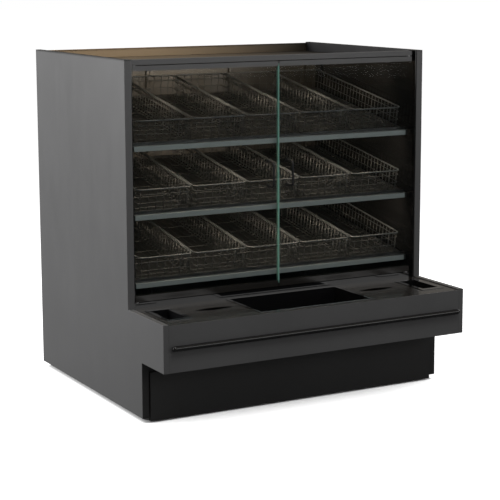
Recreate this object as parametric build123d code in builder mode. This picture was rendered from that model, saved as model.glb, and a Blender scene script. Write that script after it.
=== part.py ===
from build123d import *
import math
import os

os.makedirs("parts", exist_ok=True)

# A free-standing self-service bakery case with glass doors, sloping wire-basket shelves and a deck in front.
# Millimetres, +Z up. The front faces -Y. The origin is on the floor, in the middle of the footprint.

# Overall sizes
WIDTH = 1300.0
HEIGHT = 1321.0
BODY_DEPTH = 1168.5
BUMPER_REACH = 23.5
DEPTH = BODY_DEPTH + BUMPER_REACH

# Planes that the whole case is set out from
BACK_Y = DEPTH / 2
DECK_FRONT_Y = BACK_Y - BODY_DEPTH
UPPER_FRONT_Y = DECK_FRONT_Y + 297.5
BASE_FRONT_Y = UPPER_FRONT_Y - 114.5
PANEL_BOTTOM_Z = 20.0
DECK_BOTTOM_Z = 229.0
DECK_RIM_Z = 405.0
DECK_TOP_Z = 402.0
SHEET = 2.0
SLIP = 0.5

# Side walls: an outer faced board and an inner liner tray against it
PANEL_T = 21.0
PANEL_CHAMFER = 0.8
EDGE_TRIM_W = 6.0
EDGE_TRIM_T = 3.0
LINER_T = 10.0
INNER_X = WIDTH / 2 - PANEL_T
CABIN_X = INNER_X - LINER_T
RIM_LIP_H = 14.0
RIM_LIP_T = 1.0
RIM_LIP_Y = (UPPER_FRONT_Y + 280, UPPER_FRONT_Y + 800)

# Cabin: doors, back wall, ceiling and floor
FACE_Y = UPPER_FRONT_Y + 18
REAR_WALL_Y = UPPER_FRONT_Y + 770
CEILING_Z = 1279.0
FLOOR_Z = 430.0
HEADER_Z = (1299.0, 1318.0)
HEADER_D = 32.0
SILL_Z = (DECK_TOP_Z, 422.0)
SILL_D = 40.0
BACK_TRAY_D = 8.0
BACK_TOP_Z = 1317.0

# Doors, each turning on pins near its outer end
PIVOT_X = 601.0
PIVOT_Y = UPPER_FRONT_Y + 30
PIN_R = 5.0
PIN_CLEARANCE = 0.05
PIN_DEPTH = 7.0
COLLAR_R = 8.5
DOOR_X = (2.0, 611.0)
GLASS_Y = (UPPER_FRONT_Y + 20, UPPER_FRONT_Y + 30)
RAIL_Y = (FACE_Y, FACE_Y + 28)
TOP_RAIL_Z = (1277.0, 1296.0)
BOTTOM_RAIL_Z = (425.0, 448.0)
GLASS_BITE = 10.0
GLASS_SLIP = 0.1
HANDLE_X = 42.0
HANDLE_Z = 867.0
HANDLE_SPAN = 96.0
HANDLE_REACH = 36.0
HANDLE_R = 4.5
HANDLE_BEND = 13.0

# Shelves, price rails and lamps
SHELF_COUNT = 3
SHELF_NAMES = ["lower", "middle", "upper"]
SHELF_PITCH = 255.0
LOWEST_RAIL_TOP_Z = 491.0
TILT = 10.3
SLOPE = math.tan(math.radians(TILT))
SHELF_HALF_W = 612.0
SHELF_NOSE_Y = UPPER_FRONT_Y + 42
SHELF_LIP_Y = UPPER_FRONT_Y + 60
SHELF_REAR_Y = UPPER_FRONT_Y + 740
SHELF_LIP_H = 10.5
PAN_RISE = 1.5
RAIL_H = 20.0
RAIL_T = 5.0
RAIL_HALF_W = 598.0
LAMP_HALF_W = 590.0
CEILING_LAMP_Y = UPPER_FRONT_Y + 180
LAMP_D = 22.0
LAMP_H = 12.0
STANDARD_X = (-575.0, -195.0, 195.0, 575.0)
STANDARD_D = 12.0
BRACKET_T = 3.0

# Wire baskets, five to a shelf
BASKET_COLUMNS = 5
BASKET_PITCH = 235.0
BASKET_W = 229.0
BASKET_L = 655.0
BASKET_H = 88.0
BASKET_FRONT_Y = UPPER_FRONT_Y + 65.7
BASKET_ABOVE_RAIL = 4.1
WIRE = 3.0
RIM_R = 2.75
RIM_CORNER = 12.0
NET_GAP = 0.05

# Deck in front of the doors: a bin, two tissue covers and two tong wells
DECK_PLATE_T = 3.0
DECK_JOINT = 0.5
BIN_X = 238.0
BIN_Y = (UPPER_FRONT_Y - 267, UPPER_FRONT_Y - 9)
BIN_DEPTH = 158.0
COVER_X = (254.0, 470.0)
COVER_Y = (UPPER_FRONT_Y - 235, UPPER_FRONT_Y - 46)
COVER_GAP = 1.0
COVER_LIFT_GAP = 0.3
SLOT_X = 357.0
SLOT_Y = UPPER_FRONT_Y - 124
SLOT_HALF_L = 82.0
SLOT_HALF_W = 20.0
TRAY_LEDGE = 8.0
TRAY_DEPTH = 110.0
TONG_X = (516.0, 586.0)
TONG_Y = (UPPER_FRONT_Y - 215, UPPER_FRONT_Y - 57)
TONG_FLANGE_X = (500.0, 601.0)
TONG_FLANGE_Y = (UPPER_FRONT_Y - 235, UPPER_FRONT_Y - 40)
TONG_DEPTH = 130.0
TONG_SLIP = 2.5
PAN_T = 1.5

# Bumper rail along the deck
BUMPER_R = 10.0
BUMPER_HALF_L = 621.0
BUMPER_Z = 319.5
BUMPER_Y = -DEPTH / 2 + BUMPER_R
BUMPER_BOLT_X = (-540.0, -270.0, 0.0, 270.0, 540.0)
BUMPER_BOLT_R = 3.0

# Base
KICK_X = 620.0
KICK_Z = (8.0, 191.0)
KICK_Y = BASE_FRONT_Y - 6
KICK_D = 16.0
TUBE = 30.0
TUBE_WALL = 2.0
FRAME_X = 600.0
FRAME_FRONT_Y = BASE_FRONT_Y + 35
FRAME_MID_Y = UPPER_FRONT_Y + 20
FRAME_REAR_Y = BACK_Y - SHEET - 0.3 - TUBE / 2
FRAME_BOTTOM_Z = 44.0
ARM_X = (-600.0, -315.0, 315.0, 600.0)
ARM_Z = 248.0
FOOT_R = 24.0
MID_FOOT_Y = 110.0
FOOT_Y = (FRAME_FRONT_Y + 30, MID_FOOT_Y, BACK_Y - 42)
FOOT_H = 12.0
STUD_R = 6.0

# Service recess at the rear, with a cable gland and the light switch
RECESS_X = (430.0, 560.0)
RECESS_Z = (110.0, 190.0)
RECESS_D = 26.0
GLAND_X = 470.0
SERVICE_Z = 150.0
GLAND_BORE_R = 4.5
SWITCH_X = 525.0
SWITCH_W = 21.0
SWITCH_H = 30.0
ROCKER_THROW = 20.0
ROCKER_BOSS_R = 3.2
SCREW_X = (-560.0, -280.0, 0.0, 280.0, 560.0)
SCREW_Z = (FRAME_BOTTOM_Z + TUBE / 2, CEILING_Z - SLIP - TUBE / 2)
SCREW_SIDE_Z = (355.0, 670.0, 985.0)
SCREW_R = 2.0
SCREW_L = 14.0

# Lamp power supply inside the rear cover
DRIVER_X = (250.0, 430.0)
DRIVER_Z = (560.0, 620.0)
DRIVER_D = 34.0
DRIVER_EAR = 12.0
DRIVER_EAR_T = 2.0
DRIVER_HOLE_R = 2.2


def save(piece, name):
    """Label a finished piece and write it under its own name."""
    piece.part.label = name
    export_step(piece.part, f"parts/{name}.step")


def block(x, y, z, mode=Mode.ADD):
    """Add or cut a block that runs between a low and a high value on each axis."""
    with Locations((sum(x) / 2, sum(y) / 2, sum(z) / 2)):
        Box(abs(x[1] - x[0]), abs(y[1] - y[0]), abs(z[1] - z[0]), mode=mode)


def rod(x, y, z, radius, mode=Mode.ADD):
    """Add or cut a round rod along Y, with y as its low and high ends."""
    with Locations((x, sum(y) / 2, z)):
        Cylinder(radius, abs(y[1] - y[0]), rotation=(90, 0, 0), mode=mode)


def post(x, y, z, radius, mode=Mode.ADD):
    """Add or cut a round post along Z, with z as its low and high ends."""
    with Locations((x, y, sum(z) / 2)):
        Cylinder(radius, abs(z[1] - z[0]), mode=mode)


def spread(side, near, far):
    """Give the low and high x of something between two distances from the middle."""
    return (min(side * near, side * far), max(side * near, side * far))


def rail_top(level):
    return LOWEST_RAIL_TOP_Z + level * SHELF_PITCH


def pan_top(level, y):
    """Height of a shelf's sloping top at a depth y."""
    return rail_top(level) + PAN_RISE + (y - SHELF_LIP_Y - SHEET) * SLOPE


# Side walls

PANEL_OUTLINE = [
    (BACK_Y, PANEL_BOTTOM_Z),
    (BASE_FRONT_Y, PANEL_BOTTOM_Z),
    (BASE_FRONT_Y, DECK_BOTTOM_Z),
    (DECK_FRONT_Y, DECK_BOTTOM_Z),
    (DECK_FRONT_Y, DECK_RIM_Z),
    (UPPER_FRONT_Y, DECK_RIM_Z),
    (UPPER_FRONT_Y, HEIGHT),
    (BACK_Y, HEIGHT),
]


def side_panel(side, name):
    """Stepped outer side: a faced board with a capping turned down inside and trims on its front edges."""
    with BuildPart() as panel:
        with BuildSketch(Plane.YZ.offset(side * WIDTH / 2)):
            Polygon(*PANEL_OUTLINE, align=None)
        extrude(amount=-side * PANEL_T)
        chamfer(panel.faces().sort_by(Axis.X)[0 if side < 0 else -1].edges(), length=PANEL_CHAMFER)
        block(spread(side, INNER_X - RIM_LIP_T, INNER_X), RIM_LIP_Y, (HEIGHT - RIM_LIP_H, HEIGHT))
        for front, height in ((UPPER_FRONT_Y, (DECK_RIM_Z, HEIGHT)),
                              (BASE_FRONT_Y, (PANEL_BOTTOM_Z, DECK_BOTTOM_Z))):
            block(spread(side, INNER_X - EDGE_TRIM_W, INNER_X), (front, front + EDGE_TRIM_T), height)
    save(panel, name)


def side_liner(side, name):
    """Inner side of the cabin, with a front post that runs up beside the header."""
    post_back = FACE_Y + HEADER_D
    front = UPPER_FRONT_Y + EDGE_TRIM_T + SLIP
    outline = [
        (front, DECK_TOP_Z),
        (REAR_WALL_Y + SHEET, DECK_TOP_Z),
        (REAR_WALL_Y + SHEET, CEILING_Z),
        (post_back, CEILING_Z),
        (post_back, HEIGHT),
        (front, HEIGHT),
    ]
    with BuildPart() as liner:
        with BuildSketch(Plane.YZ.offset(side * CABIN_X)):
            Polygon(*outline, align=None)
        extrude(amount=side * LINER_T)
        with BuildSketch(Plane.YZ.offset(side * (CABIN_X + SHEET))):
            Polygon(*outline, align=None)
            offset(amount=-SHEET, kind=Kind.INTERSECTION)
        extrude(amount=side * LINER_T, mode=Mode.SUBTRACT)
    save(liner, name)


# Back, ceiling and floor

def back_screw_places():
    """Screws into the frame's upper and lower rails and its two rear posts."""
    rows = [(x, z) for x in SCREW_X for z in SCREW_Z]
    posts = [(x, z) for x in (-FRAME_X, FRAME_X) for z in SCREW_SIDE_Z]
    return rows + posts


def back_panel():
    """Removable rear cover: a folded tray with a recess for the gland and the switch."""
    half = INNER_X - SLIP
    front = BACK_Y - BACK_TRAY_D
    recess_floor = BACK_Y - RECESS_D
    with BuildPart() as panel:
        block((-half, half), (front, BACK_Y), (PANEL_BOTTOM_Z, BACK_TOP_Z))
        block((-half + SHEET, half - SHEET), (front - SHEET, BACK_Y - SHEET),
              (PANEL_BOTTOM_Z + SHEET, BACK_TOP_Z - SHEET), Mode.SUBTRACT)
        block((RECESS_X[0] - SHEET, RECESS_X[1] + SHEET), (recess_floor - SHEET, BACK_Y),
              (RECESS_Z[0] - SHEET, RECESS_Z[1] + SHEET))
        block(RECESS_X, (recess_floor, BACK_Y + SHEET), RECESS_Z, Mode.SUBTRACT)
        rod(GLAND_X, (recess_floor - 2 * SHEET, recess_floor + SHEET), SERVICE_Z, 8.2, Mode.SUBTRACT)
        block((SWITCH_X - SWITCH_W / 2, SWITCH_X + SWITCH_W / 2),
              (recess_floor - 2 * SHEET, recess_floor + SHEET),
              (SERVICE_Z - SWITCH_H / 2, SERVICE_Z + SWITCH_H / 2), Mode.SUBTRACT)
        for x, z in back_screw_places():
            with Locations((x, BACK_Y - SHEET / 2, z)):
                Cone(2 * SCREW_R + 0.1, SCREW_R + 0.1, SHEET, rotation=(90, 0, 0), mode=Mode.SUBTRACT)
    save(panel, "back_panel")


def panel_screws():
    """Countersunk screws that hold the rear cover to the frame, flush with its face."""
    with BuildPart() as screws:
        for x, z in back_screw_places():
            rod(x, (BACK_Y - SCREW_L, BACK_Y), z, SCREW_R)
            with Locations((x, BACK_Y - SHEET / 2, z)):
                Cone(2 * SCREW_R, SCREW_R, SHEET, rotation=(90, 0, 0))
    save(screws, "panel_screws")


def back_liner():
    """Rear wall of the cabin, with a narrow flange folded back at the top and the foot."""
    top = CEILING_Z - SLIP
    with BuildPart() as liner:
        with BuildSketch(Plane.YZ):
            with BuildLine():
                Polyline(
                    (REAR_WALL_Y + 16, FLOOR_Z - 24), (REAR_WALL_Y, FLOOR_Z - 24),
                    (REAR_WALL_Y, top), (REAR_WALL_Y + 16, top),
                    (REAR_WALL_Y + 16, top - SHEET), (REAR_WALL_Y + SHEET, top - SHEET),
                    (REAR_WALL_Y + SHEET, FLOOR_Z - 24 + SHEET), (REAR_WALL_Y + 16, FLOOR_Z - 24 + SHEET),
                    close=True,
                )
            make_face()
        extrude(amount=CABIN_X - SLIP, both=True)
    save(liner, "back_liner")


def top_panel():
    """Ceiling of the cabin and floor of the open well on top, turned up behind the header."""
    front = FACE_Y + HEADER_D
    outer = INNER_X - SLIP
    inner = INNER_X - 2 * SHEET
    tray_y = BACK_Y - BACK_TRAY_D - SLIP
    rear = BACK_Y - SHEET - SLIP
    with BuildPart() as pan:
        with BuildSketch(Plane.XY.offset(CEILING_Z)):
            with BuildLine():
                Polyline(
                    (-CABIN_X + SLIP, front), (CABIN_X - SLIP, front), (CABIN_X - SLIP, front + SHEET),
                    (outer, front + SHEET), (outer, tray_y), (inner, tray_y), (inner, rear),
                    (-inner, rear), (-inner, tray_y), (-outer, tray_y), (-outer, front + SHEET),
                    (-CABIN_X + SLIP, front + SHEET),
                    close=True,
                )
            make_face()
        extrude(amount=SHEET)
        block((-CABIN_X + SLIP, CABIN_X - SLIP), (front, front + SHEET), (CEILING_Z, HEADER_Z[1] - SHEET))
    save(pan, "top_panel")


def cabinet_floor():
    """Floor of the cabin, turned down behind the sill."""
    front = FACE_Y + SILL_D
    with BuildPart() as floor:
        block((-CABIN_X + SLIP, CABIN_X - SLIP), (front, REAR_WALL_Y - SLIP), (FLOOR_Z - SHEET, FLOOR_Z))
        block((-CABIN_X + SLIP, CABIN_X - SLIP), (front, front + SHEET), (DECK_TOP_Z, FLOOR_Z))
    save(floor, "cabinet_floor")


# Header, sill and door pivots

def face_rail(name, half_length, depth, height, pin_z):
    """Square tube across the front of the cabin, drilled for the two door pins."""
    with BuildPart() as rail:
        block((-half_length, half_length), (FACE_Y, FACE_Y + depth), height)
        block((-half_length - SHEET, half_length + SHEET), (FACE_Y + SHEET, FACE_Y + depth - SHEET),
              (height[0] + SHEET, height[1] - SHEET), Mode.SUBTRACT)
        for side in (-1, 1):
            post(side * PIVOT_X, PIVOT_Y, pin_z, PIN_R + PIN_CLEARANCE, Mode.SUBTRACT)
    save(rail, name)


def pivot_pins():
    """Four pins, two in the header and two in the sill, each with a thrust collar in the gap."""
    head = (TOP_RAIL_Z[1] - PIN_DEPTH, HEADER_Z[0] + 10)
    foot = (SILL_Z[1] - 10, BOTTOM_RAIL_Z[0] + PIN_DEPTH)
    with BuildPart() as pins:
        for side in (-1, 1):
            post(side * PIVOT_X, PIVOT_Y, head, PIN_R)
            post(side * PIVOT_X, PIVOT_Y, (TOP_RAIL_Z[1] + COVER_LIFT_GAP, HEADER_Z[0]), COLLAR_R)
            post(side * PIVOT_X, PIVOT_Y, foot, PIN_R)
            post(side * PIVOT_X, PIVOT_Y, (SILL_Z[1], BOTTOM_RAIL_Z[0] - COVER_LIFT_GAP), COLLAR_R)
    save(pins, "door_pivot_pins")


# Doors

def door_glass(side, name):
    """One sheet of toughened glass, drilled for its handle."""
    bottom = BOTTOM_RAIL_Z[1] - GLASS_BITE + GLASS_SLIP
    top = TOP_RAIL_Z[0] + GLASS_BITE - GLASS_SLIP
    with BuildPart() as glass:
        block(spread(side, *DOOR_X), GLASS_Y, (bottom, top))
        chamfer(glass.edges().filter_by(Axis.Z), length=1.0)
        for z in (HANDLE_Z - HANDLE_SPAN / 2, HANDLE_Z + HANDLE_SPAN / 2):
            rod(side * HANDLE_X, (GLASS_Y[0] - 1, GLASS_Y[1] + 1), z, 3.5, Mode.SUBTRACT)
    save(glass, name)


def door_rail(side, name, height, slot, bore):
    """Slotted rail along an edge of the glass, bored for the pivot pin."""
    with BuildPart() as rail:
        block(spread(side, *DOOR_X), RAIL_Y, height)
        block(spread(side, DOOR_X[0] - 1, DOOR_X[1] + 1), (GLASS_Y[0] - GLASS_SLIP, GLASS_Y[1] + GLASS_SLIP),
              slot, Mode.SUBTRACT)
        post(side * PIVOT_X, PIVOT_Y, bore, PIN_R + PIN_CLEARANCE, Mode.SUBTRACT)
    save(rail, name)


def door_rails(side, hand):
    top_slot = (TOP_RAIL_Z[0] - 1, TOP_RAIL_Z[0] + GLASS_BITE)
    foot_slot = (BOTTOM_RAIL_Z[1] - GLASS_BITE, BOTTOM_RAIL_Z[1] + 1)
    top_bore = (TOP_RAIL_Z[1] - PIN_DEPTH - COVER_LIFT_GAP, TOP_RAIL_Z[1] + 1)
    foot_bore = (BOTTOM_RAIL_Z[0] - 1, BOTTOM_RAIL_Z[0] + PIN_DEPTH + COVER_LIFT_GAP)
    door_rail(side, f"door_top_rail_{hand}", TOP_RAIL_Z, top_slot, top_bore)
    door_rail(side, f"door_bottom_rail_{hand}", BOTTOM_RAIL_Z, foot_slot, foot_bore)


def door_handle(side, name):
    """Round D handle on the outer face, with two screws through the glass from behind."""
    ends = (HANDLE_Z - HANDLE_SPAN / 2, HANDLE_Z + HANDLE_SPAN / 2)
    face = GLASS_Y[0]
    bar_y = face - HANDLE_REACH
    with BuildPart() as handle:
        with BuildLine(Plane.YZ.offset(side * HANDLE_X)) as path:
            FilletPolyline((face, ends[0]), (bar_y, ends[0]), (bar_y, ends[1]), (face, ends[1]),
                           radius=HANDLE_BEND)
        with BuildSketch(Plane(origin=path.line @ 0, z_dir=path.line % 0)):
            Circle(HANDLE_R)
        sweep()
        for z in ends:
            rod(side * HANDLE_X, (face - 3, face), z, 7.5)
            rod(side * HANDLE_X, (face - 14, face + 2), z, 2.0, Mode.SUBTRACT)
        for z in ends:
            rod(side * HANDLE_X, (face - 11, GLASS_Y[1] + 3), z, 1.9)
            rod(side * HANDLE_X, (GLASS_Y[1], GLASS_Y[1] + 3), z, 6.5)
    save(handle, name)


# Shelves

def shelf(level):
    """Sloping pan with a square nose, a low lip that stops the baskets and a stiffening rear flange."""
    top = rail_top(level)
    rear_top = pan_top(level, SHELF_REAR_Y)
    lip_back = SHELF_LIP_Y + SHEET
    with BuildPart() as pan:
        with BuildSketch(Plane.YZ):
            with BuildLine():
                Polyline(
                    (SHELF_NOSE_Y, top - RAIL_H), (SHELF_NOSE_Y, top),
                    (SHELF_LIP_Y, top), (SHELF_LIP_Y, top + SHELF_LIP_H),
                    (lip_back, top + SHELF_LIP_H), (lip_back, pan_top(level, lip_back)),
                    (SHELF_REAR_Y, rear_top), (SHELF_REAR_Y, rear_top - 24),
                    (SHELF_REAR_Y - SHEET, rear_top - 24), (SHELF_REAR_Y - SHEET, rear_top - 2.4),
                    (lip_back, top - SHEET), (SHELF_NOSE_Y + SHEET, top - SHEET),
                    (SHELF_NOSE_Y + SHEET, top - RAIL_H),
                    close=True,
                )
            make_face()
        extrude(amount=SHELF_HALF_W, both=True)
    save(pan, f"shelf_{SHELF_NAMES[level]}")


def price_rails():
    """Clip-on label strips along the three shelf noses, softly rounded in front."""
    with BuildPart() as rails:
        for level in range(SHELF_COUNT):
            top = rail_top(level)
            block((-RAIL_HALF_W, RAIL_HALF_W), (SHELF_NOSE_Y - RAIL_T, SHELF_NOSE_Y), (top - RAIL_H, top))
        front = rails.faces().filter_by(Axis.Y).group_by(Axis.Y)[0]
        chamfer(front.edges().filter_by(Axis.X), length=1.2)
    save(rails, "price_rails")


def shelf_standards():
    """Slotted uprights on the rear wall."""
    foot = FLOOR_Z + 6
    head = CEILING_Z - 6
    slot_count = 24
    with BuildPart() as standards:
        for x in STANDARD_X:
            block((x - 12.5, x + 12.5), (REAR_WALL_Y - STANDARD_D, REAR_WALL_Y), (foot, head))
            block((x - 10.5, x + 10.5), (REAR_WALL_Y - STANDARD_D + SHEET, REAR_WALL_Y + 1),
                  (foot - 1, head + 1), Mode.SUBTRACT)
        with BuildSketch(Plane.XZ.offset(-(REAR_WALL_Y - STANDARD_D / 2))):
            for x in STANDARD_X:
                with Locations((x, (foot + head) / 2)):
                    with GridLocations(1, 34, 1, slot_count):
                        Rectangle(4, 16)
        extrude(amount=STANDARD_D, mode=Mode.SUBTRACT)
    save(standards, "shelf_standards")


def shelf_brackets():
    """Tapered arms under the pans, four to a shelf, standing off the uprights."""
    rear = REAR_WALL_Y - STANDARD_D
    front = SHELF_LIP_Y + 65
    with BuildPart() as brackets:
        for level in range(SHELF_COUNT):
            underside = [pan_top(level, y) - 3.4 for y in (front, SHELF_REAR_Y - SHEET)]
            for x in STANDARD_X:
                with BuildSketch(Plane.YZ.offset(x - BRACKET_T / 2)) as arm:
                    Polygon(
                        (front, underside[0]), (SHELF_REAR_Y - SHEET - 1, underside[1]),
                        (SHELF_REAR_Y - SHEET - 1, underside[1] - 26), (rear, underside[1] - 26),
                        (rear, underside[1] - 62), (front, underside[0] - 14),
                        align=None,
                    )
                extrude(arm.sketch, amount=BRACKET_T)
    save(brackets, "shelf_brackets")


# Lamps

def lamp_places():
    """Front edge and top of each lamp: one in the nose of each upper shelf and one under the ceiling."""
    shelves = [(SHELF_NOSE_Y + SHEET + 2, rail_top(level) - SHEET) for level in range(1, SHELF_COUNT)]
    return shelves + [(CEILING_LAMP_Y, CEILING_Z)]


def light_bars():
    """Aluminium channels that carry the lamps."""
    with BuildPart() as bars:
        for front, top in lamp_places():
            block((-LAMP_HALF_W, LAMP_HALF_W), (front, front + LAMP_D), (top - LAMP_H, top))
            block((-LAMP_HALF_W - 1, LAMP_HALF_W + 1), (front + 2, front + LAMP_D - 2),
                  (top - LAMP_H - 1, top - 4), Mode.SUBTRACT)
    save(bars, "light_bars")


def light_lenses():
    """Milky covers that close the lamp channels."""
    with BuildPart() as lenses:
        for front, top in lamp_places():
            block((-LAMP_HALF_W + 1, LAMP_HALF_W - 1), (front + 2.1, front + LAMP_D - 2.1),
                  (top - LAMP_H + 0.5, top - LAMP_H + 2.5))
    save(lenses, "light_lenses")


# Baskets

def net(width, height, columns, rows):
    """Cut a grid of gaps from the sketch, leaving wires between them."""
    gap_w = (width - (columns + 1) * WIRE) / columns
    gap_h = (height - (rows + 1) * WIRE) / rows
    with GridLocations(gap_w + WIRE, gap_h + WIRE, columns, rows):
        Rectangle(gap_w, gap_h, mode=Mode.SUBTRACT)


SIDE_COLUMNS = 15
END_COLUMNS = 8
WALL_ROWS = 2
FLOOR_COLUMNS = 3
FLOOR_ROWS = 15
WALL_H = BASKET_H - WIRE - NET_GAP


def basket_floor():
    with BuildPart() as floor:
        with BuildSketch(Plane.XY):
            with Locations((0, BASKET_L / 2)):
                Rectangle(BASKET_W, BASKET_L)
                net(BASKET_W, BASKET_L, FLOOR_COLUMNS, FLOOR_ROWS)
        extrude(amount=WIRE)
    return floor.part


def basket_end(y):
    """Front or rear wall, hung from a rim rod whose ends turn the corners."""
    inward = 1 if y < BASKET_L / 2 else -1
    half = BASKET_W / 2 - WIRE / 2
    middle = WIRE + NET_GAP + WALL_H / 2
    wall_y = y + inward * WIRE / 2
    with BuildPart() as wall:
        with BuildSketch(Plane.XZ.offset(-wall_y)):
            with Locations((0, middle)):
                Rectangle(BASKET_W, WALL_H)
                net(BASKET_W, WALL_H, END_COLUMNS, WALL_ROWS)
        extrude(amount=WIRE / 2, both=True)
        with BuildLine(Plane.XY.offset(BASKET_H)) as rim:
            FilletPolyline(
                (-half, wall_y + inward * 2 * RIM_CORNER), (-half, wall_y),
                (half, wall_y), (half, wall_y + inward * 2 * RIM_CORNER),
                radius=RIM_CORNER,
            )
        with BuildSketch(Plane(origin=rim.line @ 0, z_dir=rim.line % 0)):
            Circle(RIM_R)
        sweep()
    return wall.part


def basket_side(side):
    """Side wall between the two ends, with its stretch of rim rod."""
    x = side * (BASKET_W / 2 - WIRE / 2)
    reach = WIRE + NET_GAP
    length = BASKET_L - 2 * reach
    rim_length = BASKET_L - 2 * (WIRE / 2 + 2 * RIM_CORNER + NET_GAP)
    notch = 2 * RIM_CORNER + WIRE
    with BuildPart() as wall:
        with BuildSketch(Plane.YZ.offset(x)):
            with Locations((BASKET_L / 2, WIRE + NET_GAP + WALL_H / 2)):
                Rectangle(length, WALL_H)
                net(length, WALL_H, SIDE_COLUMNS, WALL_ROWS)
        extrude(amount=WIRE / 2, both=True)
        for end in (reach, BASKET_L - reach):
            inward = 1 if end < BASKET_L / 2 else -1
            block((x - WIRE, x + WIRE), (end, end + inward * notch), (BASKET_H - RIM_R - 0.5, BASKET_H + 1),
                  Mode.SUBTRACT)
        with Locations((x, BASKET_L / 2, BASKET_H)):
            Cylinder(RIM_R, rim_length, rotation=(90, 0, 0))
    return wall.part


def baskets():
    """The same basket fifteen times, five on each sloping shelf, low end to the front."""
    walls = [basket_floor(), basket_end(0), basket_end(BASKET_L), basket_side(-1), basket_side(1)]
    for level in range(SHELF_COUNT):
        for column in range(BASKET_COLUMNS):
            x = (column - (BASKET_COLUMNS - 1) / 2) * BASKET_PITCH
            place = Location((x, BASKET_FRONT_Y, rail_top(level) + BASKET_ABOVE_RAIL), (TILT, 0, 0))
            with BuildPart() as basket:
                add([wall.moved(place) for wall in walls], clean=False)
            save(basket, f"basket_{SHELF_NAMES[level]}_{column + 1}")


# Deck

def deck_top():
    """Deck in three plates: the middle one round the bin and covers, and an end one round each tong well."""
    y = (DECK_FRONT_Y + SHEET, FACE_Y + SILL_D)
    z = (DECK_TOP_Z - DECK_PLATE_T, DECK_TOP_Z)
    cut = (z[0] - 1, z[1] + 1)
    joint = COVER_X[1] + COVER_GAP
    with BuildPart() as deck:
        block((-joint, joint), y, z)
        block((-BIN_X, BIN_X), BIN_Y, cut, Mode.SUBTRACT)
        for side in (-1, 1):
            block(spread(side, COVER_X[0] - COVER_GAP, joint + 1),
                  (COVER_Y[0] - COVER_GAP, COVER_Y[1] + COVER_GAP), cut, Mode.SUBTRACT)
        for side in (-1, 1):
            block(spread(side, joint + DECK_JOINT, INNER_X - SLIP), y, z)
            block(spread(side, TONG_X[0] - TONG_SLIP, TONG_X[1] + TONG_SLIP),
                  (TONG_Y[0] - TONG_SLIP, TONG_Y[1] + TONG_SLIP), cut, Mode.SUBTRACT)
    save(deck, "deck_top")


def deck_front():
    """Folded front of the deck, drilled for the bumper's bolts."""
    y = DECK_FRONT_Y
    z = DECK_BOTTOM_Z
    ledge = DECK_TOP_Z - DECK_PLATE_T
    with BuildPart() as front:
        with BuildSketch(Plane.YZ):
            with BuildLine():
                Polyline(
                    (y, z), (y + 30, z), (y + 30, z + SHEET), (y + SHEET, z + SHEET),
                    (y + SHEET, ledge - SHEET), (y + 22, ledge - SHEET), (y + 22, ledge),
                    (y + SHEET, ledge), (y + SHEET, DECK_TOP_Z), (y, DECK_TOP_Z),
                    close=True,
                )
            make_face()
        extrude(amount=INNER_X - SLIP, both=True)
        for x in BUMPER_BOLT_X:
            rod(x, (y - 1, y + SHEET + 1), BUMPER_Z, BUMPER_BOLT_R + 0.2, Mode.SUBTRACT)
    save(front, "deck_front")


def deck_bottom():
    """Closing sheet under the deck, from its front fold to the base."""
    with BuildPart() as bottom:
        block((-INNER_X + SLIP, INNER_X - SLIP), (DECK_FRONT_Y + 30 + SLIP, FRAME_MID_Y - TUBE),
              (DECK_BOTTOM_Z, DECK_BOTTOM_Z + SHEET))
    save(bottom, "deck_bottom")


def centre_bin():
    """Deep lift-out bin that hangs by a thin flange in the middle of the deck."""
    wall = PAN_T
    gap = COVER_GAP
    outer_x = BIN_X - gap
    outer_y = (BIN_Y[0] + gap, BIN_Y[1] - gap)
    underside = DECK_TOP_Z + COVER_LIFT_GAP
    floor = DECK_TOP_Z - BIN_DEPTH
    with BuildPart() as tub:
        block((-outer_x, outer_x), outer_y, (floor, underside + wall))
        block((-outer_x - 8, outer_x + 8), (outer_y[0] - 8, outer_y[1] + 8), (underside, underside + wall))
        block((-outer_x + wall, outer_x - wall), (outer_y[0] + wall, outer_y[1] - wall),
              (floor + wall, underside + 2 * wall), Mode.SUBTRACT)
    save(tub, "centre_bin")


def tissue_cover(side, name):
    """Loose plate flush with the deck, with a pointed oval slot to pull tissues through."""
    middle = side * SLOT_X
    low = DECK_TOP_Z - DECK_PLATE_T + COVER_LIFT_GAP
    tips = [(middle - SLOT_HALF_L, SLOT_Y), (middle + SLOT_HALF_L, SLOT_Y)]
    with BuildPart() as cover:
        with BuildSketch(Plane.XY.offset(low)):
            with Locations((side * sum(COVER_X) / 2, sum(COVER_Y) / 2)):
                Rectangle(COVER_X[1] - COVER_X[0], COVER_Y[1] - COVER_Y[0])
            with BuildLine():
                ThreePointArc(tips[0], (middle, SLOT_Y + SLOT_HALF_W), tips[1])
                ThreePointArc(tips[1], (middle, SLOT_Y - SLOT_HALF_W), tips[0])
            make_face(mode=Mode.SUBTRACT)
        extrude(amount=DECK_TOP_Z - low)
    save(cover, name)


def hung_tray(x, y, flange_x, flange_y, flange_z, depth):
    """Add a thin open tub with a flange, whose inside spans x and y."""
    block((x[0] - PAN_T, x[1] + PAN_T), (y[0] - PAN_T, y[1] + PAN_T), (flange_z[0] - depth, flange_z[1]))
    block(flange_x, flange_y, flange_z)
    block(x, y, (flange_z[0] - depth + PAN_T, flange_z[1] + 1), Mode.SUBTRACT)


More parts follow.
